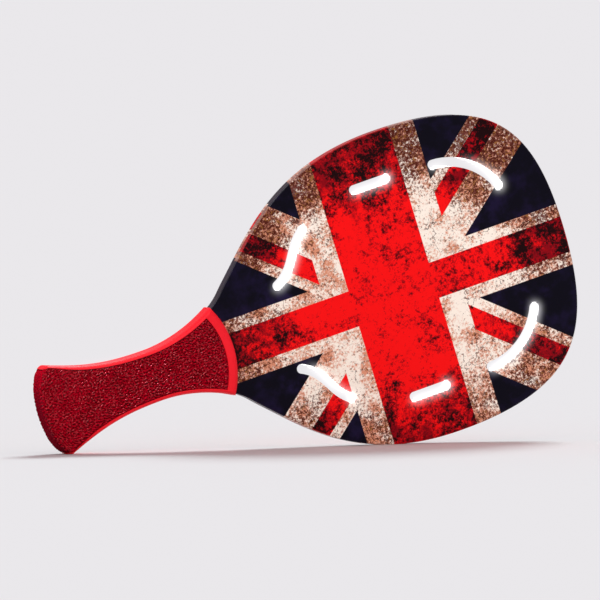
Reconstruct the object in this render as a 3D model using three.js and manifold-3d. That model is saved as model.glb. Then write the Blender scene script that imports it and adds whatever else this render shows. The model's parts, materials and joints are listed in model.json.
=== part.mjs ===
// Frescobol racket: a foam blade with printed skins and a two-part moulded grip.
// Millimetres, +Z up. The racket stands on its edge, face towards -Y, as it leans at rest.
import * as THREE from 'three';
import { mergeVertices } from 'three/addons/utils/BufferGeometryUtils.js';
import Module from 'manifold-3d';

const wasm = await Module();
wasm.setup();

// Outline, measured from the blade's centre: runs along the racket, half widths out from its long axis
const tipReach = 149.6;
const tipFullness = 81;
const widestStation = 22.5;
const bladeHalfWidth = 120.5;
const tipShoulder = 103;
const neckShoulder = 92;
const neckRun = 159.2;
const neckHalfWidth = 43.1;
const neckAngle = THREE.MathUtils.degToRad(40.7);
const neckBladePull = 47;
const neckHandlePull = 10.2;
const waistRun = 70.3;
const waistHalfWidth = 19.9;
const waistNeckPull = 35.2;
const waistButtPull = 33.8;
const buttCornerRun = 81;
const buttCornerHalfWidth = 35.3;
const buttFlareAngle = THREE.MathUtils.degToRad(20.4);
const buttFlarePull = 30.3;
const buttCornerRound = 4.5;
const buttRun = 15.2;
const buttFullness = 28;

// Blade build-up, through its thickness
const coreThickness = 7;
const laminateThickness = 0.7;
const printThickness = 0.3;
const edgeRoundWidth = 2.2;
const edgeRoundHeight = 0.8;
const edgeBandWidth = 2;
const neckStepIn = 1.4;
const neckStepRun = 24;

// Six slots: one straight pair, one pair of arcs towards the tip, one S-shaped pair by the neck
const slotWidth = 7.3;
const sideSlotStation = 6;
const sideSlotOffset = 83.4;
const sideSlotRun = 27.6;
const tipSlotCentre = new THREE.Vector2(58, 27.5);
const tipSlotRadius = 54;
const tipSlotStart = THREE.MathUtils.degToRad(88);
const tipSlotEnd = THREE.MathUtils.degToRad(24);
const neckSlotOuter = new THREE.Vector2(-57.5, 67.8);
const neckSlotInner = new THREE.Vector2(-90, 33.5);
const neckSlotOuterPull = new THREE.Vector2(-15.5, -10.5);
const neckSlotInnerPull = new THREE.Vector2(19, 8.8);

// Grip: two moulded halves round the tang, bevelled all round, with a recess for the pad
const gripThickness = 18;
const gripSideHeight = 10;
const gripBevelWidth = 2.8;
const gripWall = 5;
const collarRadius = 68.5;
const collarBevelWidth = 4.5;
const collarLip = 0.9;
const printTuck = 6;
const tangButtWall = 22;
const tangShoulder = 20;
const padBorder = 3;
const padCornerBorder = 1.6;
const padBorderTaperRun = 26;
const collarBorder = 8.4;
const pocketDepth = 1.5;
const padThickness = 1.1;

// Shared values
const clearance = 0.3;
const overrun = 4;
const bladeCurveSteps = 14;
const handleCurveSteps = 7;
const tiltSearchSteps = 40;
const roundSteps = 4;
const collarSteps = 120;
const slotEndSteps = 6;
const slotPathSteps = 8;

const neckStation = widestStation - neckRun;
const waistStation = neckStation - waistRun;
const buttCornerStation = waistStation - buttCornerRun;
const buttReach = buttCornerStation - buttRun;

const bladeThickness = coreThickness + 2 * (laminateThickness + printThickness);
const halfBlade = bladeThickness / 2;
const halfCore = coreThickness / 2;
const halfTang = halfCore + laminateThickness;
const halfGrip = gripThickness / 2;
const bladeInset = printThickness + clearance;
const coreInset = bladeInset + edgeBandWidth + clearance;

// Half outline from the tip round to the butt, as smooth curves through the named stations
function halfOutline() {
  const neckSlope = new THREE.Vector2(Math.cos(neckAngle), Math.sin(neckAngle));
  const buttSlope = new THREE.Vector2(-Math.cos(buttFlareAngle), Math.sin(buttFlareAngle));
  const neck = new THREE.Vector2(neckStation, neckHalfWidth);
  const corner = new THREE.Vector2(buttCornerStation, buttCornerHalfWidth);
  const neckOut = neck.clone().addScaledVector(neckSlope, neckBladePull);
  const neckIn = neck.clone().addScaledVector(neckSlope, -neckHandlePull);
  const flare = corner.clone().addScaledVector(buttSlope, -buttFlarePull);
  const round = corner.clone().addScaledVector(buttSlope, buttCornerRound);

  const tip = new THREE.Vector2(tipReach, 0);
  const widest = new THREE.Vector2(widestStation, bladeHalfWidth);
  const waist = new THREE.Vector2(waistStation, waistHalfWidth);
  const butt = new THREE.Vector2(buttReach, 0);
  const bezier = (start, startPull, endPull, end) => new THREE.CubicBezierCurve(start, startPull, endPull, end);
  const at = (x, y) => new THREE.Vector2(x, y);
  const curves = [
    [bezier(tip, at(tipReach, tipFullness), at(widest.x + tipShoulder, widest.y), widest), bladeCurveSteps],
    [bezier(widest, at(widest.x - neckShoulder, widest.y), neckOut, neck), bladeCurveSteps],
    [bezier(neck, neckIn, at(waist.x + waistNeckPull, waist.y), waist), handleCurveSteps],
    [bezier(waist, at(waist.x - waistButtPull, waist.y), flare, corner), handleCurveSteps],
    [bezier(corner, round, at(buttReach, buttFullness), butt), handleCurveSteps],
  ];
  return [tip, ...curves.flatMap(([curve, steps]) => curve.getPoints(steps).slice(1))];
}

// Whole outline: the half, then its mirror image back to the tip
function wholeOutline() {
  const upper = halfOutline();
  const lower = upper.slice(1, -1).reverse().map((p) => new THREE.Vector2(p.x, -p.y));
  return [...upper, ...lower];
}

// Outline moved inwards by a distance that may change from point to point
function insetOutline(outline, distanceAt) {
  return outline.map((point, i) => {
    const before = outline.at(i - 1);
    const after = outline[(i + 1) % outline.length];
    const arriving = point.clone().sub(before).normalize();
    const leaving = after.clone().sub(point).normalize();
    const along = arriving.clone().add(leaving).normalize();
    const inwards = new THREE.Vector2(-along.y, along.x);
    const stretch = 1 / Math.max(along.dot(arriving), Math.SQRT1_2);
    return point.clone().addScaledVector(inwards, distanceAt(point) * stretch);
  });
}

// Closed solid through a stack of outlines with equal counts, each at its own height across the racket
function loft(rings) {
  const count = rings[0].outline.length;
  const clockwise = THREE.ShapeUtils.isClockWise(rings[0].outline);
  const loops = rings.map(({ outline: ring }) => (clockwise ? ring.slice().reverse() : ring));
  const positions = [];
  const indices = [];
  loops.forEach((loop, k) => {
    for (const p of loop) positions.push(p.x, rings[k].y, p.y);
  });
  for (let k = 0; k + 1 < rings.length; k += 1) {
    for (let i = 0; i < count; i += 1) {
      const a = k * count + i;
      const b = k * count + (i + 1) % count;
      indices.push(a, b, a + count, b, b + count, a + count);
    }
  }
  const last = (rings.length - 1) * count;
  for (const [a, b, c] of THREE.ShapeUtils.triangulateShape(loops[0], [])) {
    indices.push(a, c, b);
  }
  for (const [a, b, c] of THREE.ShapeUtils.triangulateShape(loops.at(-1), [])) {
    indices.push(last + a, last + b, last + c);
  }
  const geometry = new THREE.BufferGeometry();
  geometry.setAttribute('position', new THREE.Float32BufferAttribute(positions, 3));
  geometry.setIndex(indices);
  return toSolid(geometry);
}

// Same outline from one height to another
function prism(outline, low, high) {
  return loft([{ y: low, outline }, { y: high, outline }]);
}

function toSolid(geometry) {
  const bare = geometry.clone();
  bare.deleteAttribute('normal');
  bare.deleteAttribute('uv');
  const merged = mergeVertices(bare);
  const mesh = new wasm.Mesh({
    numProp: 3,
    vertProperties: new Float32Array(merged.attributes.position.array),
    triVerts: new Uint32Array(merged.index.array),
  });
  const solid = new wasm.Manifold(mesh);
  return solid.volume() < 0 ? new wasm.Manifold(flipped(mesh)) : solid;
}

function flipped(mesh) {
  const triVerts = mesh.triVerts.slice();
  for (let i = 0; i < triVerts.length; i += 3) {
    [triVerts[i + 1], triVerts[i + 2]] = [triVerts[i + 2], triVerts[i + 1]];
  }
  return new wasm.Mesh({ numProp: 3, vertProperties: mesh.vertProperties, triVerts });
}

function toGeometry(solid) {
  const mesh = solid.getMesh();
  const geometry = new THREE.BufferGeometry();
  geometry.setAttribute('position', new THREE.BufferAttribute(mesh.vertProperties, 3));
  geometry.setIndex(new THREE.BufferAttribute(mesh.triVerts, 1));
  geometry.computeVertexNormals();
  return geometry;
}

// Distance of a point from the centre that the collar's arc is struck from
const collarCentre = new THREE.Vector2(waistStation, 0);
const smooth = THREE.MathUtils.smoothstep;
const mix = THREE.MathUtils.lerp;

// The blade is drawn in a little beside the collar, so that the grip stands proud of its edge
function neckStep(point) {
  const reach = point.distanceTo(collarCentre);
  return neckStepIn * (1 - smooth(reach, collarRadius, collarRadius + neckStepRun));
}

// Inset of a layer that follows the blade's edge and narrows to the tang inside the grip
function layerInset(bladeValue) {
  return (point) => {
    const reach = point.distanceTo(collarCentre);
    const share = smooth(reach, collarRadius - tangShoulder, collarRadius - printTuck);
    return mix(gripWall, bladeValue + neckStep(point), share);
  };
}

const outline = wholeOutline();
const collarReach = waistStation + collarRadius;

// The blade with its tang stops short of the butt, and the grip runs past the collar to be trimmed by its arc
const plateOutline = outline.filter((p) => p.x > buttReach + tangButtWall);
const gripOutline = outline.filter((p) => p.x < collarReach + neckStepRun);

// Solid of revolution about the collar's centre, from a closed half profile of radius and height
function collarTurning(profile) {
  const geometry = new THREE.LatheGeometry(profile, collarSteps);
  return toSolid(geometry).translate([waistStation, 0, 0]);
}

// Block over the blade's side of the waist, where the collar's arc does its cutting
function bladeSideBlock() {
  const length = tipReach - waistStation + overrun;
  const box = new THREE.BoxGeometry(length, 2 * (halfGrip + overrun), 2 * (bladeHalfWidth + overrun));
  return toSolid(box).translate([waistStation + length / 2, 0, 0]);
}

// Everything on the blade's side of an arc about the collar's centre
function beyondArc(radius) {
  const high = halfGrip + 2 * overrun;
  const drum = collarTurning([
    new THREE.Vector2(0, -high),
    new THREE.Vector2(radius, -high),
    new THREE.Vector2(radius, high),
    new THREE.Vector2(0, high),
  ]);
  return bladeSideBlock().subtract(drum);
}

// Quarter of an ellipse from the side wall in to the face, as heights and insets
function quarterRings(startInset, startHeight, across, up) {
  const rings = [];
  for (let k = 0; k <= roundSteps; k += 1) {
    const angle = (k / roundSteps) * (Math.PI / 2);
    rings.push({
      y: startHeight + up * Math.sin(angle),
      inset: startInset + across * (1 - Math.cos(angle)),
    });
  }
  return rings;
}

// The same rings on both sides of the mid plane
function bothSides(rings) {
  return [...rings.map(({ y, inset }) => ({ y: -y, inset })).reverse(), ...rings];
}

// Rounded edge of the blade, at the printed face or at a layer under it
function bladeRings(faceHeight, sideGap) {
  const depth = halfBlade - faceHeight;
  const [across, up] = [edgeRoundWidth - depth, edgeRoundHeight - depth];
  return quarterRings(depth - sideGap, halfBlade - edgeRoundHeight, across, up);
}

function loftInset(source, rings, insetFor, side) {
  return loft(rings.map(({ y, inset }) => ({
    y: side * y,
    outline: insetOutline(source, insetFor(inset)),
  })));
}

const bladeInsetFor = (inset) => (point) => inset + neckStep(point);

// Slots, cut in register through every layer of the blade
function slotRing(path, steps) {
  const points = path.getPoints(steps);
  const half = slotWidth / 2;
  const edge = (sign) => points.map((point, i) => {
    const along = path.getTangent(i / steps);
    return new THREE.Vector2(point.x - sign * half * along.y, point.y + sign * half * along.x);
  });
  const cap = (t, turn) => {
    const centre = path.getPoint(t);
    const along = path.getTangent(t);
    const start = Math.atan2(along.y, along.x) + turn;
    const ring = [];
    for (let k = 1; k < slotEndSteps; k += 1) {
      const angle = start - (k / slotEndSteps) * Math.PI;
      ring.push(new THREE.Vector2(centre.x + half * Math.cos(angle), centre.y + half * Math.sin(angle)));
    }
    return ring;
  };
  return [
    ...edge(1),
    ...cap(1, Math.PI / 2),
    ...edge(-1).reverse(),
    ...cap(0, -Math.PI / 2),
  ];
}

// One slot of each pair, on the upper side of the long axis
function slotPaths() {
  const start = new THREE.Vector2(sideSlotStation - sideSlotRun / 2, sideSlotOffset);
  const end = new THREE.Vector2(sideSlotStation + sideSlotRun / 2, sideSlotOffset);
  return [
    { path: new THREE.LineCurve(start, end), steps: 1 },
    {
      path: new THREE.EllipseCurve(
        tipSlotCentre.x, tipSlotCentre.y, tipSlotRadius, tipSlotRadius, tipSlotStart, tipSlotEnd, true,
      ),
      steps: slotPathSteps,
    },
    {
      path: new THREE.CubicBezierCurve(
        neckSlotOuter,
        neckSlotOuter.clone().add(neckSlotOuterPull),
        neckSlotInner.clone().add(neckSlotInnerPull),
        neckSlotInner,
      ),
      steps: slotPathSteps,
    },
  ];
}

function slotCutters() {
  const high = halfBlade + overrun;
  return wasm.Manifold.union(slotPaths().flatMap(({ path, steps }) => {
    const ring = slotRing(path, steps);
    const mirrored = ring.map((p) => new THREE.Vector2(p.x, -p.y));
    return [prism(ring, -high, high), prism(mirrored, -high, high)];
  }));
}

const slots = slotCutters();

// Foam plate with its tang
function bladeCore() {
  const ring = insetOutline(plateOutline, layerInset(coreInset));
  return prism(ring, -halfCore, halfCore).subtract(slots);
}

// Thin skin on one side of the core, over the edge band and down the tang
function laminate(side) {
  const low = insetOutline(plateOutline, layerInset(bladeInset + laminateThickness));
  const high = insetOutline(plateOutline, layerInset(edgeRoundWidth + clearance));
  const plate = loft([
    { y: side * halfCore, outline: low },
    { y: side * halfTang, outline: high },
  ]);
  return plate.subtract(slots);
}

// Strip that closes the core's edge from one side of the collar round to the other
function edgeBand() {
  const high = halfCore + overrun;
  const outer = prism(insetOutline(plateOutline, bladeInsetFor(bladeInset)), -halfCore, halfCore);
  const inner = prism(insetOutline(plateOutline, bladeInsetFor(bladeInset + edgeBandWidth)), -high, high);
  return outer.subtract(inner).intersect(beyondArc(collarRadius - printTuck));
}

// Printed film on one side: over the face, round the edge and down the side wall to the mid plane
function printedSkin(side) {
  const wholeRings = [{ y: 0, inset: 0 }, ...bladeRings(halfBlade, 0)];
  const hollowRings = [{ y: -overrun, inset: printThickness }, ...bladeRings(halfTang, 0)];
  const outer = loftInset(plateOutline, wholeRings, bladeInsetFor, side);
  const inner = loftInset(plateOutline, hollowRings, bladeInsetFor, side);
  return outer.subtract(inner).subtract(slots).intersect(beyondArc(collarRadius - printTuck));
}

// Bevelled handle form at a depth below its skin
function gripRings(depth, sideGap) {
  const wallHeight = gripSideHeight / 2;
  return quarterRings(depth - sideGap, wallHeight, gripBevelWidth - depth, halfGrip - wallHeight - depth);
}

const plainInset = (inset) => () => inset;

function halfGripForm(side) {
  return loftInset(gripOutline, [{ y: 0, inset: 0 }, ...gripRings(0, 0)], plainInset, side);
}

function wholeGripForm(depth, sideGap) {
  return loftInset(gripOutline, bothSides(gripRings(depth, sideGap)), plainInset, 1);
}

// The collar's arc, rounded over from the thin lip on the blade to the grip's full thickness
function collarCut() {
  const lip = halfBlade + collarLip;
  const high = halfGrip + 2 * overrun;
  const quarter = quarterRings(0, lip, collarBevelWidth, halfGrip - lip)
    .map(({ y, inset }) => new THREE.Vector2(collarRadius - inset, y));
  const drumTop = new THREE.Vector2(collarRadius - collarBevelWidth, high);
  const upper = [...quarter, drumTop, new THREE.Vector2(0, high)];
  const lower = upper.map((p) => new THREE.Vector2(p.x, -p.y)).reverse();
  return bladeSideBlock().subtract(collarTurning([...lower, ...upper]));
}

// Border beside the pad, which narrows towards the butt's corners
function padInset(point) {
  const share = smooth(point.x, buttCornerStation, buttCornerStation + padBorderTaperRun);
  return mix(padCornerBorder, padBorder, share);
}

// Outline of the pad and its pocket: the handle's sides drawn in, run out past the butt
function padOutline(extraInset) {
  const upper = insetOutline(outline, (point) => padInset(point) + extraInset)
    .filter((p, i) => outline[i].x >= buttCornerStation && outline[i].x < collarReach && p.y > 0);
  const cornerHeight = upper.at(-1).y;
  const end = buttReach - overrun;
  const half = [...upper, new THREE.Vector2(end, cornerHeight)];
  return [...half, ...half.map((p) => new THREE.Vector2(p.x, -p.y)).reverse()];
}

function padColumn(extraInset) {
  const high = halfGrip + overrun;
  return prism(padOutline(extraInset), -high, high)
    .subtract(beyondArc(collarRadius - collarBorder - extraInset));
}

// Room inside the grip for the blade's neck and the tang
function gripCavity() {
  const bladeRoom = loftInset(plateOutline, bothSides(bladeRings(halfBlade, clearance)), bladeInsetFor, 1)
    .intersect(beyondArc(collarRadius - printTuck - clearance));
  const tangInset = layerInset(bladeInset + laminateThickness);
  const tang = insetOutline(plateOutline, (point) => tangInset(point) - clearance);
  return bladeRoom.add(prism(tang, -halfTang, halfTang));
}

const cavity = gripCavity();
const arcCut = collarCut();
const pocket = padColumn(0).subtract(wholeGripForm(pocketDepth, 0));

// One moulded half of the grip
function gripShell(side) {
  return halfGripForm(side).subtract(arcCut).subtract(cavity).subtract(pocket);
}

// Textured pad, from the front pocket round the butt into the back one
function gripPad() {
  const skinDepth = pocketDepth - padThickness;
  return padColumn(clearance)
    .intersect(wholeGripForm(skinDepth, 0))
    .subtract(wholeGripForm(pocketDepth, clearance));
}

// Lean of the racket when its butt corner and the blade's edge both touch the ground
function restingTilt() {
  const lowest = (points, tilt) => Math.min(...points.map((p) => p.x * Math.sin(tilt) + p.y * Math.cos(tilt)));
  const handle = outline.filter((p) => p.x < waistStation);
  const blade = outline.filter((p) => p.x >= waistStation);
  let low = 0;
  let high = Math.PI / 4;
  for (let k = 0; k < tiltSearchSteps; k += 1) {
    const middle = (low + high) / 2;
    if (lowest(handle, middle) > lowest(blade, middle)) low = middle;
    else high = middle;
  }
  return (low + high) / 2;
}

const finishes = {
  foam: { color: 0xf4f2ee, roughness: 0.8, metalness: 0 },
  glassFibre: { color: 0xcfd2c4, roughness: 0.5, metalness: 0 },
  band: { color: 0x2a2530, roughness: 0.45, metalness: 0 },
  print: { color: 0xb3262b, roughness: 0.25, metalness: 0 },
  grip: { color: 0xf03a4b, roughness: 0.5, metalness: 0 },
  pad: { color: 0x8c0d1e, roughness: 0.6, metalness: 0 },
};

function part(name, solid, finish) {
  const mesh = new THREE.Mesh(toGeometry(solid), new THREE.MeshStandardMaterial(finishes[finish]));
  mesh.name = name;
  return mesh;
}

const front = -1;
const back = 1;

const racket = new THREE.Group();
racket.add(
  part('blade_core', bladeCore(), 'foam'),
  part('front_laminate', laminate(front), 'glassFibre'),
  part('back_laminate', laminate(back), 'glassFibre'),
  part('edge_band', edgeBand(), 'band'),
  part('front_print', printedSkin(front), 'print'),
  part('back_print', printedSkin(back), 'print'),
  part('front_grip_shell', gripShell(front), 'grip'),
  part('back_grip_shell', gripShell(back), 'grip'),
  part('grip_pad', gripPad(), 'pad'),
);

// Set down on the ground: leaned over, lifted to its lowest point and centred
racket.rotation.y = -restingTilt();
racket.updateMatrixWorld(true);
const extent = new THREE.Box3().setFromObject(racket, true);
racket.position.set(-(extent.min.x + extent.max.x) / 2, 0, -extent.min.z);

const model = new THREE.Group();
model.add(racket);

export default model;
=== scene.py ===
import json
import math

import bmesh
import bpy
import numpy as np
from mathutils import Matrix, Vector

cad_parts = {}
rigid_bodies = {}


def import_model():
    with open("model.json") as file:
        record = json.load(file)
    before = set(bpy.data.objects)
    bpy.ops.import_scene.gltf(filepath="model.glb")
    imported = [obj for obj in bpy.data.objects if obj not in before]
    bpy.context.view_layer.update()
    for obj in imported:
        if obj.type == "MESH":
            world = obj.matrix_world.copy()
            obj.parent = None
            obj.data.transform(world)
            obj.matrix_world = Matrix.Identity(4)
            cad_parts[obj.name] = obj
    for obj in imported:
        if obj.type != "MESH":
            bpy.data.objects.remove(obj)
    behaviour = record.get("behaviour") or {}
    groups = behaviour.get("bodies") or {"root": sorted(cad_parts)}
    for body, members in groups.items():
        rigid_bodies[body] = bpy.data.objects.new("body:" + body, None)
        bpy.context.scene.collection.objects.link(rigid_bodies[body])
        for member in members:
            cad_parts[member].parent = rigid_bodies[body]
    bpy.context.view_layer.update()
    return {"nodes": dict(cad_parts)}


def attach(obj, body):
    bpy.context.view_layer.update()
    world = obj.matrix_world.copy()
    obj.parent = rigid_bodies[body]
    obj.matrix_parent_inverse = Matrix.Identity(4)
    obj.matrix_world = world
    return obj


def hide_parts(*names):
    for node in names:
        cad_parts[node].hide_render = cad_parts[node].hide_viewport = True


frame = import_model()
mm = 0.001

# Plan of the racket: u runs along it from the blade's centre, v across it, y through it, all in mm
racket = {
    "bladeCentre": (69.824457, 118.266388),  # along and up from the part's origin
    "lean": 16.927915,  # degrees
    "tip": 149.6,
    "tipFullness": 81,
    "widest": (22.5, 120.5),
    "shoulders": (103, 92),
    "neck": (-136.7, 43.1),
    "neckAngle": 40.7,
    "neckPulls": (47, 10.2),  # lengths of the curves' handles on either side of the point
    "waist": (-207, 19.9),
    "waistPulls": (35.2, 33.8),
    "corner": (-288, 35.3),
    "cornerFlare": 20.4,
    "cornerPulls": (30.3, 4.5),
    "butt": -303.2,
    "buttFullness": 28,
    "bladeSteps": 44,
    "handleSteps": 26,
    "collarRadius": 68.5,
    "neckStep": (1.4, 24),  # how far the blade is drawn in at the collar, and over what run
    "tuck": 6,  # of the blade under the collar
    "tangWall": 22,  # between the tang and the butt
    "handleReach": 90,  # past the waist, as far as the handle's side is looked up
}

lean = math.radians(racket["lean"])
alongAxis = Vector((math.cos(lean), 0, math.sin(lean)))
acrossAxis = Vector((-math.sin(lean), 0, math.cos(lean)))
centreAlong, centreUp = racket["bladeCentre"]
placing = Matrix((
    (alongAxis.x * mm, 0, acrossAxis.x * mm, centreAlong * mm),
    (0, mm, 0, 0),
    (alongAxis.z * mm, 0, acrossAxis.z * mm, centreUp * mm),
    (0, 0, 0, 1),
))
waistPoint = np.array((racket["waist"][0], 0.0))


def bezier(start, startPull, endPull, end, steps):
    a, b, c, d = (np.array(p, float) for p in (start, startPull, endPull, end))
    t = np.linspace(0, 1, steps + 1)[1:, None]
    return a * (1 - t) ** 3 + 3 * b * t * (1 - t) ** 2 + 3 * c * t ** 2 * (1 - t) + d * t ** 3


def wholeOutline(r):
    neckTurn, flareTurn = math.radians(r["neckAngle"]), math.radians(r["cornerFlare"])
    neckSlope = np.array((math.cos(neckTurn), math.sin(neckTurn)))
    cornerSlope = np.array((-math.cos(flareTurn), math.sin(flareTurn)))
    tip, butt = (r["tip"], 0), (r["butt"], 0)
    widest, neck, waist, corner = (
        np.array(r[key], float) for key in ("widest", "neck", "waist", "corner"))
    tipShoulder, neckShoulder = ((length, 0) for length in r["shoulders"])
    towardsNeck, towardsButt = ((length, 0) for length in r["waistPulls"])
    blade, handle = r["bladeSteps"], r["handleSteps"]
    upper = np.vstack([
        [tip],
        bezier(tip, (r["tip"], r["tipFullness"]), widest + tipShoulder, widest, blade),
        bezier(widest, widest - neckShoulder, neck + neckSlope * r["neckPulls"][0], neck, blade),
        bezier(neck, neck - neckSlope * r["neckPulls"][1], waist + towardsNeck, waist, handle),
        bezier(waist, waist - towardsButt, corner - cornerSlope * r["cornerPulls"][0],
               corner, handle),
        bezier(corner, corner + cornerSlope * r["cornerPulls"][1],
               (r["butt"], r["buttFullness"]), butt, handle),
    ])
    return np.vstack([upper, upper[-2:0:-1] * (1, -1)])


def insetRing(ring, distance):
    step = np.roll(ring, -1, 0) - ring
    leaving = step / np.linalg.norm(step, axis=1, keepdims=True)
    arriving = np.roll(leaving, 1, 0)
    along = leaving + arriving
    along /= np.linalg.norm(along, axis=1, keepdims=True)
    # a corner moves no further than a right angle's does
    stretch = 1 / np.maximum((along * arriving).sum(1), math.sqrt(0.5))
    inwards = np.stack([-along[:, 1], along[:, 0]], 1)
    return ring + inwards * (distance * stretch)[:, None]


def smoothStep(x, low, high):
    t = np.clip((x - low) / (high - low), 0, 1)
    return t * t * (3 - 2 * t)


def reach(points):
    return np.linalg.norm(points - waistPoint, axis=1)


def neckStep(points):  # the blade is drawn in beside the collar
    depth, run = racket["neckStep"]
    radius = racket["collarRadius"]
    return depth * (1 - smoothStep(reach(points), radius, radius + run))


outline = wholeOutline(racket)
collarReach = waistPoint[0] + racket["collarRadius"]
plateOutline = outline[outline[:, 0] > racket["butt"] + racket["tangWall"]]
gripOutline = outline[outline[:, 0] < collarReach + racket["neckStep"][1]]


def quarterRound(inset, height, across, up, steps):  # rings from the side wall in to the face
    turns = np.linspace(0, math.pi / 2, steps + 1)
    return [(height + up * math.sin(a), inset + across * (1 - math.cos(a))) for a in turns]


# Meshes are built in plan millimetres and placed at the end
def addLoop(bm, ring, y):
    return [bm.verts.new((u, y, v)) for u, v in ring]


def bridge(bm, first, second):
    for i in range(len(first)):
        j = (i + 1) % len(first)
        bm.faces.new((first[i], first[j], second[j], second[i]))


def closeCap(bm, *loops):
    edges = [bm.edges.get((loop[i - 1], loop[i])) for loop in loops for i in range(len(loop))]
    bmesh.ops.triangle_fill(bm, use_beauty=True, use_dissolve=False, edges=edges)


def loft(rings):  # closed solid through outlines with equal counts
    bm = bmesh.new()
    loops = [addLoop(bm, ring, y) for y, ring in rings]
    for first, second in zip(loops, loops[1:]):
        bridge(bm, first, second)
    bm.faces.new(loops[0])
    bm.faces.new(loops[-1])
    return bm


def addObject(name, data):
    added = bpy.data.objects.new(name, data)
    bpy.context.scene.collection.objects.link(added)
    return added


def meshObject(name, bm):
    bmesh.ops.recalc_face_normals(bm, faces=bm.faces)
    if bm.calc_volume(signed=True) < 0:
        bmesh.ops.reverse_faces(bm, faces=bm.faces)
    mesh = bpy.data.meshes.new(name)
    bm.to_mesh(mesh)
    bm.free()
    return addObject(name, mesh)


def cutAway(piece, cutter):  # the cutter is used up
    modifier = piece.modifiers.new("shape", "BOOLEAN")
    modifier.solver, modifier.operation, modifier.object = "MANIFOLD", "DIFFERENCE", cutter
    evaluated = piece.evaluated_get(bpy.context.evaluated_depsgraph_get())
    result = bpy.data.meshes.new_from_object(evaluated)
    piece.modifiers.clear()
    piece.data = result
    bpy.data.objects.remove(cutter)
    return piece


def finishPiece(piece, material, node, sharpAngle=35):
    mesh = piece.data
    mesh.transform(placing)
    mesh.materials.clear()
    mesh.materials.append(material)
    mesh.shade_smooth()
    mesh.set_sharp_from_angle(angle=math.radians(sharpAngle))
    weighted = piece.modifiers.new("normals", "WEIGHTED_NORMAL")
    weighted.keep_sharp = True
    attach(piece, "root")
    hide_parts(node)
    print("piece", piece.name, len(mesh.polygons), "faces")
    return piece


class Field:  # a shader socket that adds, multiplies and mixes
    def __init__(self, tree, socket):
        self.tree, self.socket = tree, socket

    def make(self, kind, settings=None, sockets=None, output=0):
        node = self.tree.nodes.new(kind)
        for key, value in (settings or {}).items():
            setattr(node, key, value)
        for key, value in (sockets or {}).items():
            if isinstance(value, Field):
                self.tree.links.new(value.socket, node.inputs[key])
            else:
                node.inputs[key].default_value = value
        return Field(self.tree, node.outputs[output])

    def maths(self, operation, *values):
        return self.make("ShaderNodeMath", {"operation": operation}, dict(enumerate(values)))

    def __add__(self, other):
        return self.maths("ADD", self, other)

    __radd__ = __add__

    def __sub__(self, other):
        return self.maths("SUBTRACT", self, other)

    def __rsub__(self, other):
        return self.maths("SUBTRACT", other, self)

    def __mul__(self, other):
        return self.maths("MULTIPLY", self, other)

    __rmul__ = __mul__

    def __truediv__(self, other):
        return self.maths("DIVIDE", self, other)

    def __pow__(self, other):
        return self.maths("POWER", self, other)

    def size(self):
        return self.maths("ABSOLUTE", self)

    def sine(self):
        return self.maths("SINE", self)

    def root(self):
        return self.maths("SQRT", self)

    def larger(self, other):
        return self.maths("MAXIMUM", self, other)

    def step(self, low, high):  # 0 below low, 1 above high
        return self.make("ShaderNodeMapRange", {"interpolation_type": "SMOOTHSTEP"},
                         {"Value": self, "From Min": low, "From Max": high})

    def vector(self, operation, other, output=0):
        settings = {"operation": operation}
        return self.make("ShaderNodeVectorMath", settings, {0: self, 1: other}, output)

    def dot(self, direction):
        return self.vector("DOT_PRODUCT", direction, output=1)

    def scaled(self, factors):
        return self.vector("MULTIPLY", factors)

    def moved(self, shift):
        return self.vector("ADD", shift)

    def over(self, below, above):  # this mask lays the colour above on the one below
        colours = {6: rgba(below), 7: rgba(above)}  # its colour sockets, as is output 2
        return self.make("ShaderNodeMix", {"data_type": "RGBA"}, {0: self, **colours}, 2)

    def noise(self, size, detail, roughness):
        return self.make("ShaderNodeTexNoise", {}, {
            "Vector": self, "Scale": 1 / size, "Detail": detail, "Roughness": roughness})

    def cells(self, size):
        return self.make("ShaderNodeTexVoronoi", {}, {"Vector": self, "Scale": 1 / size})


def rgba(colour):
    return colour if isinstance(colour, Field) else (*colour, 1)


def newMaterial(name, constants):
    material = bpy.data.materials.new(name)
    material.use_nodes = True
    shader = material.node_tree.nodes["Principled BSDF"]
    for key, value in constants.items():
        shader.inputs[key].default_value = value
    return material


def ownPlace(material):  # object coordinates in mm
    start = Field(material.node_tree, None)
    place = start.make("ShaderNodeTexCoord", output="Object")
    return place.scaled((1 / mm, 1 / mm, 1 / mm))


def planPlace(place):  # u and v of the racket's plan
    offset = Vector((centreAlong, 0, centreUp))
    u = place.dot(alongAxis) - offset.dot(alongAxis)
    v = place.dot(acrossAxis) - offset.dot(acrossAxis)
    return u, v


def depthPlace(place):  # distance from the mid plane of the racket
    return place.dot((0, 1, 0)).size()


def feed(material, socket, field):
    shader = material.node_tree.nodes["Principled BSDF"]
    material.node_tree.links.new(field.socket, shader.inputs[socket])


def bump(material, height, depth):  # depth in mm
    settings = {"Height": height, "Distance": depth * mm, "Strength": 1}
    feed(material, "Normal", height.make("ShaderNodeBump", {}, settings))


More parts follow.
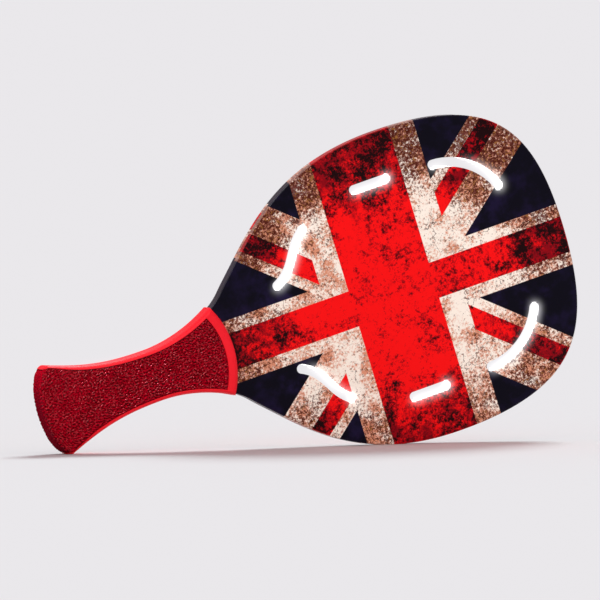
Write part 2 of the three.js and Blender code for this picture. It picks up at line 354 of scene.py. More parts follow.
printLook = {  # crossed stripes in worn ink under a thin lacquer, sizes in mm
    "lie": ((1.0018, -0.0143), (0.0034, 0.9949)),  # how the pattern is turned and stretched
    "shift": (-0.14, -3.54),
    "skew": 0.021,
    "acrossBar": (35.0, 56.1),  # half width of the red and of its white border
    "alongBar": (14.1, 24.2),
    "diagonalSlope": 0.811,
    "diagonalWhite": (-23.5, 24.6),  # from one side of the diagonal to the other
    "diagonalRed": (-15.3, 0),
    "edge": 0.2,  # softness of the ink's edges
    "sideShift": 11.0,  # through the noises, so that front and back wear differently
    "navy": (0.0030, 0.0023, 0.0068),
    "navyLight": (0.0160, 0.0095, 0.0480),
    "cream": (0.72, 0.295, 0.175),
    "creamLight": (1.0, 0.90, 0.77),
    "creamDark": (0.115, 0.024, 0.020),
    # painted sheen: the rounded rim's navy and cream are lighter than the face's
    "creamRimSheen": (0.55, 0.30, 0.24),
    "navyRimSheen": (0.030, 0.022, 0.042),
    "speckBrown": (0.075, 0.011, 0.005),
    "speckOlive": (0.30, 0.12, 0.030),
    "red": (0.97, 0.0050, 0.0060),
    "redDeep": (0.21, 0.0012, 0.0060),
    "redSoot": (0.0110, 0.0012, 0.0020),
    "roughness": (0.34, 0.18),  # mean, and how far the blotches change it
    "specular": 0.06,
    "coatRoughness": 0.22,
    "rimDepth": (4.05, 4.46),  # from the mid plane, where the rounded rim turns into the face
    "rimShare": 0.35,  # of painted sheen in lighter colour, with cleaner red, and of lacquer there
    "bump": (0.012, 0.12),  # share of the fine grain, depth in mm
}

inkNoise = {  # shift, size in mm, detail and roughness
    "edge": ((0, 0, 0), 38, 3, 0.55),
    "blotch": ((0, 0, 0), 9, 8, 0.72),
    "dull": ((9, 4, 6), 16, 4, 0.6),
    "cloud": ((70, 15, 2), 22, 4, 0.6),
    "grain": ((2, 3, 9), 3.4, 8, 0.8),
    "patches": ((31, 7, 3), 20, 5, 0.62),
    "fine": ((5, 9, 1), 2.1, 3, 0.8),
    "dots": ((3, 2, 8), 2.1, 3, 0.8),
    "hue": ((6, 2, 5), 2.6, 2, 0.6),
    "thread": ((4, 8, 3), 30, 5, 0.6),
    "torn": ((9, 6, 4), 26, 1, 0.5),
    "dent": ((0, 0, 0), 26, 2, 0.5),
    "tooth": ((0, 0, 0), 1.1, 2, 0.6),
}

inkWear = {
    "reach": (150, 122),  # half length and half width over which the wear grows
    "across": (0.0006, 0.0018),  # more wear per mm of v, on all inks and on cream
    "edgeNoise": 0.8,
    "start": (0.36, 1.02),  # of the reach: no wear yet, full wear
    "dull": (0.42, 0.72),
    "dullLoss": 0.6,  # of the light navy where it is worn
    "hue": (0.52, 0.64),
    "speck": (0.8, 0.15),  # strength, and what full wear adds
    "crack": (0.002, 0.009),
    "torn": (0.52, 0.56),
    "crackShare": 0.85,
}

inkMasks = {  # weights of the noises, where the mask starts and is full, its strength
    "redDeep": ({"worn": 0.9, "blotch": 2.6, "grain": 1.5}, (0.14, 1.0), 0.94),
    "redDirt": ({"cloud": 1.3, "grain": 2.3, "worn": 0.36}, (0.05, 0.28), 0.75),
    "redSoot": ({"cloud": 1.3, "grain": 2.3, "worn": 0.36}, (0.22, 0.42), 1),
    "creamTone": ({"patches": 4.4, "fine": 3.9, "worn": -0.6}, (-0.70, 0.30), 1),
    "creamDusk": ({"worn": 1, "patches": 0.8, "blotch": 1.2, "fine": -3.5}, (0.62, 1.30), 0.95),
    "creamPepper": ({"dots": 1, "patches": -0.35, "worn": 0.10, "blotch": 0.2}, (0.085, 0.12), 1),
}


def within(distance, low, high, edge):
    return distance.step(low - edge, low + edge) * (1 - distance.step(high - edge, high + edge))


def stripes(u, v):  # masks of the white and the red of the pattern
    p, edge = printLook, printLook["edge"]

    def inside(field, half):
        return 1 - field.step(half - edge, half + edge)

    su, sv = (u * row[0] + v * row[1] - middle for row, middle in zip(p["lie"], p["shift"]))
    across = (su + sv * p["skew"]).size()
    along = sv.size()
    quarter = su * sv
    diagonal = (su.size() * p["diagonalSlope"] - along) * quarter.maths("SIGN", quarter)
    diagonal = diagonal / math.hypot(1, p["diagonalSlope"])
    cross = inside(across, p["acrossBar"][0]).larger(inside(along, p["alongBar"][0]))
    border = inside(across, p["acrossBar"][1]).larger(inside(along, p["alongBar"][1]))
    white = border.larger(within(diagonal, *p["diagonalWhite"], edge))
    red = cross.larger(within(diagonal, *p["diagonalRed"], edge) * (1 - border))
    return white, red


def inkField(ink, name):
    shift, *kind = inkNoise[name]
    return ink.moved(shift).noise(*kind)


def inkMask(fields, name):
    weights, (low, high), strength = inkMasks[name]
    first, *others = [fields[key] * weight for key, weight in weights.items()]
    return sum(others, first).step(low, high) * strength


def redWear(fields):
    p = printLook
    colour = inkMask(fields, "redDeep").over(p["red"], p["redDeep"])
    colour = inkMask(fields, "redDirt").over(colour, p["redDeep"])
    return inkMask(fields, "redSoot").over(colour, p["redSoot"])


def creamWear(ink, fields):
    p, w = printLook, inkWear
    colour = inkMask(fields, "creamTone").over(p["cream"], p["creamLight"])
    colour = inkMask(fields, "creamDusk").over(colour, p["creamDark"])
    speck = inkField(ink, "hue").step(*w["hue"]).over(p["speckBrown"], p["speckOlive"])
    plain, added = w["speck"]
    pepper = inkMask(fields, "creamPepper") * (plain + fields["worn"] * added)
    colour = pepper.over(colour, speck)
    thread = (inkField(ink, "thread") - 0.5).size()
    cracked = (1 - thread.step(*w["crack"])) * inkField(ink, "torn").step(*w["torn"])
    return (cracked * w["crackShare"]).over(colour, p["speckBrown"])


def printMaterial(name, side):
    p, w = printLook, inkWear
    material = newMaterial(name, {"Specular IOR Level": p["specular"],
                                  "Coat Roughness": p["coatRoughness"]})
    place = ownPlace(material)
    u, v = planPlace(place)
    if side > 0:  # the back shows the same pattern when the racket is turned over about u
        v = v * -1
    ink = u.make("ShaderNodeCombineXYZ", {}, {0: u, 1: v, 2: p["sideShift"] * side})
    white, red = stripes(u, v)

    # wear grows from the middle of the blade out to its rim
    spread = (u / w["reach"][0]) ** 2 + (v / w["reach"][1]) ** 2
    far = spread.root() + v * w["across"][0]
    worn = (far + (inkField(ink, "edge") - 0.5) * w["edgeNoise"]).step(*w["start"])
    names = ("blotch", "cloud", "grain", "patches", "fine", "dots")
    fields = {"worn": worn, **{key: inkField(ink, key) - 0.5 for key in names}}  # noises round 0
    creamFields = {**fields, "worn": worn + v * w["across"][1]}

    dull = inkField(ink, "dull").step(*w["dull"]) * (1 - worn * w["dullLoss"])
    colour = white.over(dull.over(p["navy"], p["navyLight"]), creamWear(ink, creamFields))
    colour = red.over(colour, redWear(fields))
    # the rounded rim takes lighter colours, a painted sheen along the edge, with unworn red and
    # more lacquer
    rim = (1 - depthPlace(place).step(*p["rimDepth"])) * p["rimShare"]
    cleanAndSheen = red.over(white.over(p["navyRimSheen"], p["creamRimSheen"]), p["red"])
    feed(material, "Base Color", rim.over(colour, cleanAndSheen))
    feed(material, "Roughness", p["roughness"][0] + fields["blotch"] * p["roughness"][1])
    feed(material, "Coat Weight", rim)
    share, depth = p["bump"]
    bump(material, inkField(ink, "dent") + inkField(ink, "tooth") * share, depth)
    return material


gripLook = {
    "colour": (0.95, 0.006, 0.019),
    "dark": (0.88, 0.004, 0.015),
    "cloud": (14, 4, 0.6),
    "cloudRange": (0.3, 0.75),
    "grain": (0.45, 2, 0.6),
    "roughness": (0.55, 0.15),
    "specular": 0.25,
    "bump": 0.01,
}


def gripMaterial():
    look = gripLook
    material = newMaterial("mouldedGrip", {"Specular IOR Level": look["specular"]})
    place = ownPlace(material)
    cloud = place.noise(*look["cloud"])
    dark = cloud.step(*look["cloudRange"])
    feed(material, "Base Color", dark.over(look["colour"], look["dark"]))
    feed(material, "Roughness", look["roughness"][0] + (cloud - 0.5) * look["roughness"][1])
    bump(material, place.noise(*look["grain"]), look["bump"])
    return material

padLook = {
    # painted shade and light: low darkens the hollows of the relief and crumple, high lights their
    # tops and the butt's wall
    "low": (0.058, 0.0002, 0.0016),
    "high": (0.185, 0.0004, 0.0085),
    "sheen": (1.0, 0.30, 0.42),
    "specular": 0.04,
    "coatRoughness": 0.16,
    "cloud": (11, 4, 0.6),
    "crumple": (1.5, 3, 0.75),
    "toneAndShadeShares": (0.7, 0.6, 1.8, 0.6),  # of relief and crumple, painted shade in their hollows; of clouds, at random; of the butt's wall, painted light
    "toneAndShadeRange": (-0.05, 0.75),
    "wall": (6, 8),  # from the mid plane: the wall round the butt, and the face
    "glint": ((3, 8, 5), 2.6, 2, 0.6),  # shift, size, detail, roughness
    "glintRange": (0.46, 0.56),
    "glintHeight": (0.35, 0.7),  # glints sit on the high parts
    "glintCrumple": 1.5,
    "roughness": (0.55, 0.2, 0.3),  # plain, less in the glints, more on the wall
    "coat": 0.65,
    "bump": 1.3,
}


def padMaterial():
    look = padLook
    material = newMaterial("pebbledPad", {"Specular IOR Level": look["specular"],
                                          "Coat Roughness": look["coatRoughness"],
                                          "Specular Tint": (*look["sheen"], 1)})
    place = ownPlace(material)
    height = place.make("ShaderNodeAttribute", {"attribute_name": "pebble"}, output="Fac")
    cloud = place.noise(*look["cloud"]) - 0.5
    crumple = place.noise(*look["crumple"]) - 0.5
    turned = 1 - depthPlace(place).step(*look["wall"])
    # hollows of the relief and crumple get painted shade, the butt's wall painted light, the
    # clouds vary at random
    parts = zip((height, cloud, crumple, turned), look["toneAndShadeShares"])
    first, *others = [field * share for field, share in parts]
    toneAndShade = sum(others, first).step(*look["toneAndShadeRange"])
    feed(material, "Base Color", toneAndShade.over(look["low"], look["high"]))
    shift, *kind = look["glint"]
    glint = place.moved(shift).noise(*kind).step(*look["glintRange"])
    glint = glint * (height + crumple * look["glintCrumple"]).step(*look["glintHeight"])
    plain, inGlint, onWall = look["roughness"]
    feed(material, "Roughness", plain - glint * inGlint + turned * onWall)
    feed(material, "Coat Weight", glint * (1 - turned) * look["coat"])
    bump(material, crumple, look["bump"])
    return material

foamLook = {
    "colour": (0.95, 0.95, 0.95),
    # painted shade: a darker grey in the hollows between the foam's cells
    "hollowShade": (0.86, 0.86, 0.86),
    "roughness": 0.9,
    "specular": 0.2,
    # painted light: the foam glows by its own emission, though it is no lamp
    "glow": 1.5,  # the slots shine white in the photograph
    "cells": 0.55,
    "cellRange": (0, 0.9),
    "bump": 0.03,
}


# White foam whose emission is painted light: the slot walls glow white
def glowingFoamMaterial():
    look = foamLook
    material = newMaterial("glowingWhiteFoam", {"Roughness": look["roughness"],
                                         "Specular IOR Level": look["specular"],
                                         "Emission Color": (1, 1, 1, 1),
                                         "Emission Strength": look["glow"]})
    cells = ownPlace(material).cells(look["cells"])
    hollowShade = cells.step(*look["cellRange"])
    feed(material, "Base Color", hollowShade.over(look["colour"], look["hollowShade"]))
    bump(material, cells, look["bump"])
    return material

laminateLook = {
    "colour": (0.80, 0.80, 0.76),
    "dark": (0.70, 0.70, 0.64),
    "roughness": 0.45,
    "weave": 0.8,
    "bump": 0.02,
}


def laminateMaterial():
    look = laminateLook
    material = newMaterial("wovenSkin", {"Roughness": look["roughness"]})
    u, v = planPlace(ownPlace(material))
    warp, weft = ((place * (math.tau / look["weave"])).sine() for place in (u, v))
    weave = warp * weft
    feed(material, "Base Color", weave.step(-1, 1).over(look["dark"], look["colour"]))
    bump(material, weave, look["bump"])
    return material

bandLook = {
    "colour": (0.012, 0.010, 0.020),
    "dust": (0.030, 0.028, 0.040),
    "roughness": 0.5,
    "cloud": (3, 4, 0.6),
    "bump": 0.02,
}


def bandMaterial():
    look = bandLook
    material = newMaterial("edgeStrip", {"Roughness": look["roughness"]})
    cloud = ownPlace(material).noise(*look["cloud"])
    feed(material, "Base Color", cloud.over(look["colour"], look["dust"]))
    bump(material, cloud, look["bump"])
    return material


print("materials")
frontInk = printMaterial("frontInk", -1)
backInk = printMaterial("backInk", 1)
mouldedGrip = gripMaterial()
pebbledPad = padMaterial()
glowingWhiteFoam = glowingFoamMaterial()
wovenSkin = laminateMaterial()
edgeStrip = bandMaterial()

slots = {
    "width": 7.3,
    "lip": 0.2,  # rounding of the film's edge
    "side": (6, 83.4, 27.6),  # middle along and across, length
    "tip": (58, 27.5, 54, 88, 24),  # centre of the arc, its radius, first and last angle
    "neck": ((-57.5, 67.8), (-73, 57.3), (-71, 42.3), (-90, 33.5)),  # start, two pulls, end
    "steps": 28,
    "capSteps": 14,
    "lipSteps": 4,
}


def slotPaths():
    station, offset, run = slots["side"]
    straight = np.array(((station - run / 2, offset), (station + run / 2, offset)))
    u, v, radius, start, end = slots["tip"]
    turns = np.radians(np.linspace(start, end, slots["steps"] + 1))
    arc = np.stack([u + radius * np.cos(turns), v + radius * np.sin(turns)], 1)
    neck = np.vstack([[slots["neck"][0]], bezier(*slots["neck"], slots["steps"])])
    upper = [straight, arc, neck]
    return upper + [path * (1, -1) for path in upper]


def slotRing(path, half):
    along = np.gradient(path, axis=0)
    along /= np.linalg.norm(along, axis=1, keepdims=True)
    aside = np.stack([-along[:, 1], along[:, 0]], 1) * half

    def cap(centre, direction):
        start = math.atan2(direction[1], direction[0]) + math.pi / 2
        turns = start - np.linspace(0, math.pi, slots["capSteps"] + 1)[1:-1]
        return centre + half * np.stack([np.cos(turns), np.sin(turns)], 1)

    return np.vstack([path + aside, cap(path[-1], along[-1]),
                      (path - aside)[::-1], cap(path[0], -along[0])])


layers = {
    "core": 3.5,  # distances of the outer faces from the mid plane
    "laminate": 4.2,
    "print": 4.5,
    "edgeRound": (2.2, 0.8),  # width and height
    "coreInset": 2.9,
    "laminateInset": (1.3, 2.5),  # at its inner and outer face
    "filmInset": 0.3,
    "gripWall": 5,
    "tangShoulder": 20,
    "roundSteps": 10,
    "arcSteps": 29,
    "seam": 0.18,  # bevel at the mid plane, where the halves meet
}


def tangInset(bladeValue):
    radius = racket["collarRadius"]
    inner, outer = radius - layers["tangShoulder"], radius - racket["tuck"]
    share = smoothStep(reach(plateOutline), inner, outer)
    return layers["gripWall"] * (1 - share) + (bladeValue + neckStep(plateOutline)) * share


def bladeRing(inset):  # the blade's edge, closed by the arc that tucks into the collar
    whole = insetRing(outline, inset + neckStep(outline))
    outside = reach(outline) > racket["collarRadius"] - racket["tuck"]
    outside &= outline[:, 0] > waistPoint[0]
    first = np.flatnonzero(~outside)[0]
    last = np.flatnonzero(~outside)[-1]
    ring = np.vstack([whole[last + 1:], whole[:first]])
    end = ring[-1] - waistPoint
    turn = math.atan2(end[1], end[0])
    turns = np.linspace(turn, -turn, layers["arcSteps"] + 1)[1:-1]
    arc = waistPoint + np.hypot(*end) * np.stack([np.cos(turns), np.sin(turns)], 1)
    return np.vstack([ring, arc])


def plate(name, outside, holes, inside=()):  # rings up the outside, down the slots, up inside
    bm = bmesh.new()
    outer = [addLoop(bm, ring, y) for y, ring in outside]
    inner = [addLoop(bm, ring, y) for y, ring in inside]
    wells = [[addLoop(bm, slotRing(path, half), y) for y, half in holes] for path in slotPaths()]
    for loops in [outer, inner, *wells]:
        for first, second in zip(loops, loops[1:]):
            bridge(bm, first, second)
    if inner:
        bridge(bm, inner[-1], outer[0])
    closeCap(bm, outer[-1], *[loops[0] for loops in wells])
    closeCap(bm, inner[0] if inner else outer[0], *[loops[-1] for loops in wells])
    return meshObject(name, bm)


def bladeCore():
    ring = insetRing(plateOutline, tangInset(layers["coreInset"]))
    half, top = slots["width"] / 2, layers["core"]
    return plate("bladeFoam", [(-top, ring), (top, ring)], [(top, half), (-top, half)])


def laminate(name, side):
    low, high = (insetRing(plateOutline, tangInset(inset)) for inset in layers["laminateInset"])
    bottom, top, half = side * layers["core"], side * layers["laminate"], slots["width"] / 2
    return plate(name, [(bottom, low), (top, high)], [(top, half), (bottom, half)])


def printedFilm(name, side):
    top, film, steps = layers["print"], layers["filmInset"], layers["roundSteps"]
    (across, up), seam = layers["edgeRound"], layers["seam"]
    edge = [(0.0, seam), (seam, 0.0), *quarterRound(0, top - up, across, up, steps)]
    under = quarterRound(film, top - up, across - film, up - film, steps)[::-1]
    under.append((0.0, film + seam))
    half, lip = slots["width"] / 2, slots["lip"]
    rounded = quarterRound(0, top - lip, lip, lip, slots["lipSteps"])[::-1]
    down = [(y, half + inset) for y, inset in rounded] + [(top - film, half)]
    return plate(name,
                 [(side * y, bladeRing(inset)) for y, inset in edge],
                 [(side * y, width) for y, width in down],
                 [(side * y, bladeRing(inset)) for y, inset in under])


print("blade")
finishPiece(bladeCore(), glowingWhiteFoam, "blade_core")
finishPiece(laminate("frontSkin", -1), wovenSkin, "front_laminate")
finishPiece(laminate("backSkin", 1), wovenSkin, "back_laminate")
finishPiece(printedFilm("frontFilm", -1), frontInk, "front_print")
finishPiece(printedFilm("backFilm", 1), backInk, "back_print")
edgeBand = frame["nodes"]["edge_band"].data  # hidden under the films, so it only changes colour
edgeBand.materials.clear()
edgeBand.materials.append(edgeStrip)

grip = {
    "half": 9.0,  # half the thickness
    "wall": 5.0,  # half height of the side
    "bevel": 2.8,
    "bevelSteps": 14,
    "lip": 5.4,  # height at which the collar's bevel starts
    "collarBevel": 4.5,
    "collarSweep": (75, 180),  # degrees to each side, steps in all
    "pocket": 1.5,
    "pocketArcSteps": 59,
    "padBorder": (1.6, 3.0, 26),  # at the butt, further on, and the run between
    "collarBorder": 8.4,
    "room": 0.3,  # kept round the blade and the tang
    "roomSteps": 6,
    "seam": 0.25,  # bevel at the mid plane
    "over": 4,  # how far a cutter runs past what it cuts
    "settling": 60,  # rounds in which a crossing with a curve settles
}


def evenInset(ring, inset):
    return insetRing(ring, np.full(len(ring), inset))


def gripRings(depth, side):  # rounded handle at a depth under its skin, open to the mid plane
    rise = grip["half"] - grip["wall"] - depth
    rings = quarterRound(depth, grip["wall"], grip["bevel"] - depth, rise, grip["bevelSteps"])
    return [(side * y, evenInset(gripOutline, inset)) for y, inset in rings]


def gripForm(side):
    seam = grip["seam"]
    base = [(0.0, evenInset(gripOutline, seam)), (side * seam, gripOutline)]
    return meshObject("form", loft(base + gripRings(0, side)))


def underForm(side):  # floor of the pocket
    rings = gripRings(grip["pocket"], side)
    return meshObject("under", loft([(-side * grip["over"], rings[0][1])] + rings))


def collarCutter(side):  # sector that leaves the rounded arc of the collar
    radius, lip, over = racket["collarRadius"], grip["lip"], grip["over"]
    rings = quarterRound(0, lip, grip["collarBevel"], grip["half"] - lip, grip["bevelSteps"])
    top, far = grip["half"] + over, 2 * radius
    profile = [(-over, radius), *[(y, radius - inset) for y, inset in rings]]
    profile += [(top, profile[-1][1]), (top, far), (-over, far)]
    sweep, steps = grip["collarSweep"]
    bm = bmesh.new()
    loops = []
    for turn in np.radians(np.linspace(-sweep, sweep, steps + 1)):
        along, across = math.cos(turn), math.sin(turn)
        loops.append([bm.verts.new((waistPoint[0] + r * along, side * y, r * across))
                      for y, r in profile])
    for first, second in zip(loops, loops[1:]):
        bridge(bm, first, second)
    bm.faces.new(loops[0])
    bm.faces.new(loops[-1])
    return meshObject("collar", bm)


def sideWidth(extra):  # half width of the pad against u, in a table; its border thins at the butt
    narrow, full, run = grip["padBorder"]
    corner, u = racket["corner"][0], outline[:, 0]
    border = narrow + (full - narrow) * smoothStep(u, corner, corner + run)
    ring = insetRing(outline, border + extra)
    table = ring[(outline[:, 1] > 0) & (u >= corner) & (u < waistPoint[0] + racket["handleReach"])]
    return table[np.argsort(table[:, 0])]


def padRing(arcRadius, end):  # plan of the pad's pocket
    table = sideWidth(0)
    turn = 0.5  # radians, a first guess
    for _ in range(grip["settling"]):
        crossing = waistPoint[0] + arcRadius * math.cos(turn)
        turn = math.asin(np.interp(crossing, *table.T) / arcRadius)
    crossing = waistPoint[0] + arcRadius * math.cos(turn)
    side = table[table[:, 0] < crossing - 0.1]  # no point right beside the corner
    turns = np.linspace(-turn, turn, grip["pocketArcSteps"] + 1)
    arc = waistPoint + arcRadius * np.stack([np.cos(turns), np.sin(turns)], 1)
    upper = np.vstack([side[::-1], [(end, side[0, 1])]])
    return np.vstack([arc, upper, upper[::-1] * (1, -1)])


def pocketCutter(side):
    over, top = grip["over"], grip["half"] + grip["over"]
    ring = padRing(racket["collarRadius"] - grip["collarBorder"], racket["butt"] - over)
    column = meshObject("column", loft([(-side * over / 2, ring), (side * top, ring)]))
    return cutAway(column, underForm(side))


def neckRoom(side):  # where the blade's neck enters
    top, (across, up), room = layers["print"], layers["edgeRound"], grip["room"]
    rounded = quarterRound(0, top - up, across, up, grip["roomSteps"])
    rings = [(y, inset - room) for y, inset in rounded]
    highest, innermost = rings[-1]
    rings = [(-grip["over"], -room), *rings[:-1], (highest + room, innermost)]
    return meshObject("neck", loft([(side * y, bladeRing(inset)) for y, inset in rings]))


def tangRoom(side):
    ring = insetRing(plateOutline, tangInset(layers["laminateInset"][0]) - grip["room"])
    low, high = -side * grip["over"], side * layers["laminate"]
    return meshObject("tang", loft([(low, ring), (high, ring)]))


def gripShell(name, side):
    shell = gripForm(side)
    shell.name = name
    for cutter in (collarCutter, pocketCutter, tangRoom, neckRoom):
        cutAway(shell, cutter(side))
    return shell


print("grip")
finishPiece(gripShell("frontGrip", -1), mouldedGrip, "front_grip_shell")
finishPiece(gripShell("backGrip", 1), mouldedGrip, "back_grip_shell")

pad = {
    "room": 0.3,  # kept to the pocket's sides
    "arc": 59.8,  # radius of its ends at the collar
    "depth": 0.4,  # under the handle's skin
    "skirt": 1.0,  # depth of its rim
    "across": 130,  # steps of the grid: across, along a face, over the bend, down the wall
    "flat": 300,
    "bend": 14,
    "wall": 22,
    "relief": 0.85,
    "level": 0.2,  # how far the relief is let down as a whole
    "rollOff": (1.5, 0.25),  # steps from the pad's edge, depth there
    "spacing": 0.3,
    "wave": 2.4,  # size of the pebbles
    "bandwidth": 0.55,
    "contrast": 0.8,
    "margin": 8,
    "seed": 11,
}


def pebbleField(length, width):  # broad band of noise that leaves uneven pebbles
    spacing = pad["spacing"]
    rows, columns = (int(size / spacing) + pad["margin"] for size in (length, width))
    noise = np.random.default_rng(pad["seed"]).standard_normal((rows, columns))
    down, across = np.fft.fftfreq(rows, spacing), np.fft.fftfreq(columns, spacing)
    waves = np.hypot(down[:, None], across[None, :]) * pad["wave"]
    waves = np.maximum(waves, 0.01)  # above 0 for the logarithm
    band = np.exp(-(np.log(waves) / pad["bandwidth"]) ** 2)
    field = np.fft.ifft2(np.fft.fft2(noise) * band).real
    return np.tanh(field / field.std() * pad["contrast"])


def sampled(field, row, column):  # between the four nearest values
    r, c = np.floor(row).astype(int), np.floor(column).astype(int)
    a, b = row - r, column - c
    return (field[r, c] * (1 - a) * (1 - b) + field[r + 1, c] * a * (1 - b)
            + field[r, c + 1] * (1 - a) * b + field[r + 1, c + 1] * a * b)


def edgeDistance(u, v):  # from points of the plan to the outline, taken on the upper half
    reached = outline[:, 0] < waistPoint[0] + racket["handleReach"]
    near = outline[(outline[:, 1] >= 0) & reached]
    start, step = near[:-1], near[1:] - near[:-1]
    points = np.stack([u, np.abs(v)], 1)[:, None]
    share = np.clip(((points - start) * step).sum(2) / (step ** 2).sum(1), 0, 1)
    return np.linalg.norm(points - start - step * share[..., None], axis=2).min(1)


def padRow(u, v):  # on the handle's rounded skin, a little under it
    depth = pad["depth"]
    outwards = np.clip((grip["bevel"] - edgeDistance(u, v)) / (grip["bevel"] - depth), 0, 1)
    rise = grip["half"] - grip["wall"] - depth
    return np.stack([u, -grip["wall"] - rise * np.sqrt(1 - outwards ** 2), v], 1)


def padSurface():  # grid of points from the front collar arc round the butt to the back one
    t = np.linspace(-1, 1, pad["across"] + 1)
    table = sideWidth(pad["room"])
    bevel = grip["bevel"] - pad["depth"]

    def width(u):
        return np.interp(u, *table.T)

    start = np.full(len(t), waistPoint[0] + pad["arc"])
    for _ in range(grip["settling"]):
        start = waistPoint[0] + np.sqrt(pad["arc"] ** 2 - (t * width(start)) ** 2)
    handle = outline[outline[:, 0] < waistPoint[0]]
    butt = outline[:, 0] < handle[handle[:, 1].argmax(), 0]
    ring = evenInset(outline, pad["depth"])[butt]
    ring = ring[np.argsort(ring[:, 1])]
    end = np.interp(t * table[0, 1], ring[:, 1], ring[:, 0])

    rows = []
    for share in np.linspace(0, 1, pad["flat"] + 1)[:-1]:
        u = start + (end + bevel - start) * share
        rows.append(padRow(u, t * width(u)))
    for turn in np.linspace(math.pi / 2, 0, pad["bend"] + 1)[:-1]:
        u = end + bevel * (1 - math.cos(turn))
        rows.append(padRow(u, t * width(u)))
    for y in np.linspace(-grip["wall"], 0, pad["wall"] // 2 + 1):
        rows.append(np.stack([end, np.full(len(t), y), t * width(end)], 1))
    back = [row * (1, -1, 1) for row in rows[-2::-1]]
    return np.array(rows + back)


def gripPad():
    grid = padSurface()
    rows, columns = grid.shape[:2]
    downRows = np.gradient(grid, axis=0)
    downColumns = np.gradient(grid, axis=1)
    normal = np.cross(downRows, downColumns)
    normal /= np.linalg.norm(normal, axis=2, keepdims=True)
    if normal[rows // 4, columns // 2, 1] > 0:
        normal = -normal
    run = np.cumsum(np.linalg.norm(downRows, axis=2).mean(1))
    field = pebbleField(run[-1], 2 * np.abs(grid[..., 2]).max())
    row = np.broadcast_to((run / pad["spacing"])[:, None], (rows, columns))
    column = (grid[..., 2] - grid[..., 2].min()) / pad["spacing"]
    height = sampled(field, row, column)
    down, across = np.indices((rows, columns))
    edge = np.minimum.reduce([down, rows - 1 - down, across, columns - 1 - across])
    rollRun, rollDepth = pad["rollOff"]
    roll = np.clip(edge / rollRun, 0, 1)
    relief = (height * 0.5 - pad["level"]) * pad["relief"] - (1 - roll) * rollDepth
    top = grid + normal * relief[..., None]
    skirt = grid - normal * pad["skirt"]

    verts = [tuple(p) for p in top.reshape(-1, 3)]
    index = np.arange(rows * columns).reshape(rows, columns)
    corners = [index[:-1, :-1], index[1:, :-1], index[1:, 1:], index[:-1, 1:]]
    faces = np.stack(corners, -1).reshape(-1, 4).tolist()
    rim = np.concatenate([index[0, :], index[1:, -1], index[-1, -2::-1], index[-2:0:-1, 0]])
    foot = len(verts) + np.arange(len(rim))
    verts += [tuple(p) for p in skirt.reshape(-1, 3)[rim]]
    for k in range(len(rim)):
        n = (k + 1) % len(rim)
        faces.append((int(rim[k]), int(rim[n]), int(foot[n]), int(foot[k])))
    mesh = bpy.data.meshes.new("gripPad")
    mesh.from_pydata(verts, [], faces)
    values = np.concatenate([(height * 0.5 + 0.5).reshape(-1), np.zeros(len(rim))])
    pebble = mesh.attributes.new("pebble", "FLOAT", "POINT")
    pebble.data.foreach_set("value", values.astype(np.float32))
    mesh.validate()
    bm = bmesh.new()
    bm.from_mesh(mesh)
    bmesh.ops.recalc_face_normals(bm, faces=bm.faces)
    bm.to_mesh(mesh)
    bm.free()
    return addObject("gripPad", mesh)


print("pad")
padPiece = finishPiece(gripPad(), pebbledPad, "grip_pad", sharpAngle=70)
padPiece.modifiers.clear()  # the relief shades better by its own normals

view = {
    "azimuth": -22.33,
    "elevation": 2.456,
    "roll": -0.604,
    "distance": 20.0,
    "mmPerPixel": 1 / 1.307,
    "originPixel": (307.943, 446.725),
    "pixels": 600,
    "sensor": 36,
    "clip": (0.1, 400),
}


def makeCamera():
    angles = (math.radians(view[key]) for key in ("azimuth", "elevation", "roll"))
    azimuth, elevation, roll = angles
    level = math.cos(elevation)
    right = Vector((math.cos(azimuth), math.sin(azimuth), 0))
    back = Vector((math.sin(azimuth) * level, -math.cos(azimuth) * level, math.sin(elevation)))
    up = back.cross(right)
    cosine, sine = math.cos(roll), math.sin(roll)
    right, up = right * cosine + up * sine, up * cosine - right * sine
    scale = view["mmPerPixel"] * mm
    x, y = view["originPixel"]
    middle = view["pixels"] / 2
    target = right * ((middle - x) * scale) + up * ((y - middle) * scale)
    data = bpy.data.cameras.new("camera")
    data.sensor_width = view["sensor"]
    data.lens = view["sensor"] * view["distance"] / (view["pixels"] * scale)
    data.clip_start, data.clip_end = view["clip"]
    camera = addObject("camera", data)
    camera.matrix_world = Matrix((
        (right.x, up.x, back.x, 0),
        (right.y, up.y, back.y, 0),
        (right.z, up.z, back.z, 0),
        (0, 0, 0, 1),
    ))
    camera.location = target + back * view["distance"]
    bpy.context.scene.camera = camera


studio = {
    "backdrop": (0.823, 0.807, 0.831),  # what the camera sees
    "sky": (0.54, 0.455, 0.475),  # what lights the racket
    "floor": (0.814, 0.813, 0.812),
    "floorHalf": 60.0,  # metres
    "glow": {"threshold": 1.05, "strength": 2.2, "size": 0.02},
    "lamps": (  # name, towards the light, energy, colour, spread in degrees, what it lights
        ("back", (0.75, 0.85, 1.35), 2.24, (0.86, 0.98, 1.0), 24, "all"),
        ("front", (-0.5, -1.3, 1.0), 1.35, (0.94, 0.98, 1.0), 30, "racket"),
        ("left", (-1.5, -0.3, 0.5), 0.5, (1.0, 0.90, 0.95), 40, "racket"),
        ("sparkle", (-0.3, -0.7, 1.2), 8.0, (1.0, 0.20, 0.30), 6, "pad"),
    ),
}


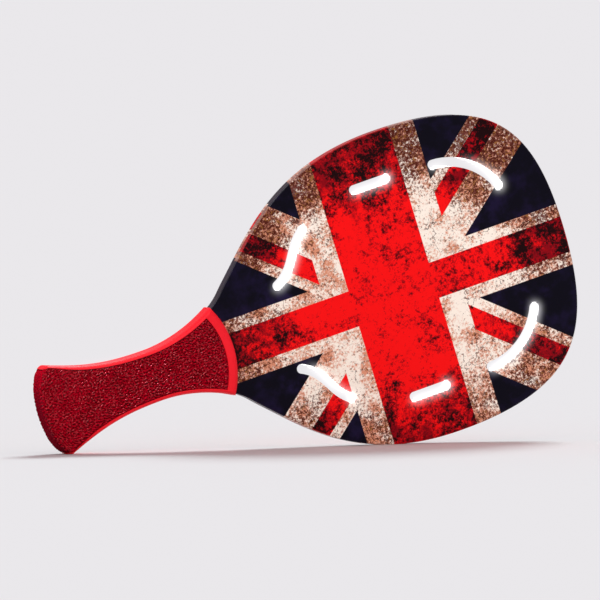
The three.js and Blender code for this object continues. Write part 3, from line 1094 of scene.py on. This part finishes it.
def makeFloor():
    bm = bmesh.new()
    half = studio["floorHalf"]
    corners = ((-half, -half), (half, -half), (half, half), (-half, half))
    bm.faces.new([bm.verts.new((x, y, 0.0)) for x, y in corners])
    mesh = bpy.data.meshes.new("floor")
    bm.to_mesh(mesh)
    bm.free()
    floor = addObject("floor", mesh)
    mesh.materials.append(newMaterial("paleFloor", {
        "Base Color": (*studio["floor"], 1), "Roughness": 1, "Specular IOR Level": 0}))
    return floor


def makeLight(floor):
    world = bpy.data.worlds.new("studio")
    world.use_nodes = True
    tree = world.node_tree
    seen = tree.nodes.new("ShaderNodeLightPath").outputs["Is Camera Ray"]
    mix = tree.nodes.new("ShaderNodeMix")
    mix.data_type = "RGBA"
    tree.links.new(seen, mix.inputs["Factor"])
    for socket, colour in (("A_Color", studio["sky"]), ("B_Color", studio["backdrop"])):
        next(i for i in mix.inputs if i.identifier == socket).default_value = (*colour, 1)
    result = next(o for o in mix.outputs if o.identifier == "Result_Color")
    tree.links.new(result, tree.nodes["Background"].inputs["Color"])
    bpy.context.scene.world = world

    lit = {"racket": bpy.data.collections.new("litRacket"),
           "pad": bpy.data.collections.new("litPad")}
    lit["pad"].objects.link(padPiece)
    for item in bpy.context.scene.objects:
        if item.type == "MESH" and item != floor:
            lit["racket"].objects.link(item)
    for name, towards, energy, colour, spread, target in studio["lamps"]:
        light = bpy.data.lights.new(name, "SUN")
        light.energy, light.color, light.angle = energy, colour, math.radians(spread)
        lamp = addObject(name, light)
        lamp.rotation_mode = "QUATERNION"
        lamp.rotation_quaternion = Vector(towards).to_track_quat("Z", "Y")
        if target in lit:
            lamp.light_linking.receiver_collection = lit[target]


def makeGlow():  # soft halo round the white foam of the slots
    scene = bpy.context.scene
    scene.use_nodes = True
    tree = scene.node_tree
    glare = tree.nodes.new("CompositorNodeGlare")
    glare.glare_type = "BLOOM"
    for key, value in studio["glow"].items():
        glare.inputs[key.capitalize()].default_value = value
    tree.links.new(tree.nodes["Render Layers"].outputs["Image"], glare.inputs["Image"])
    tree.links.new(glare.outputs["Image"], tree.nodes["Composite"].inputs["Image"])


print("studio")
makeCamera()
makeLight(makeFloor())
makeGlow()
bpy.context.scene.view_settings.view_transform = "Standard"
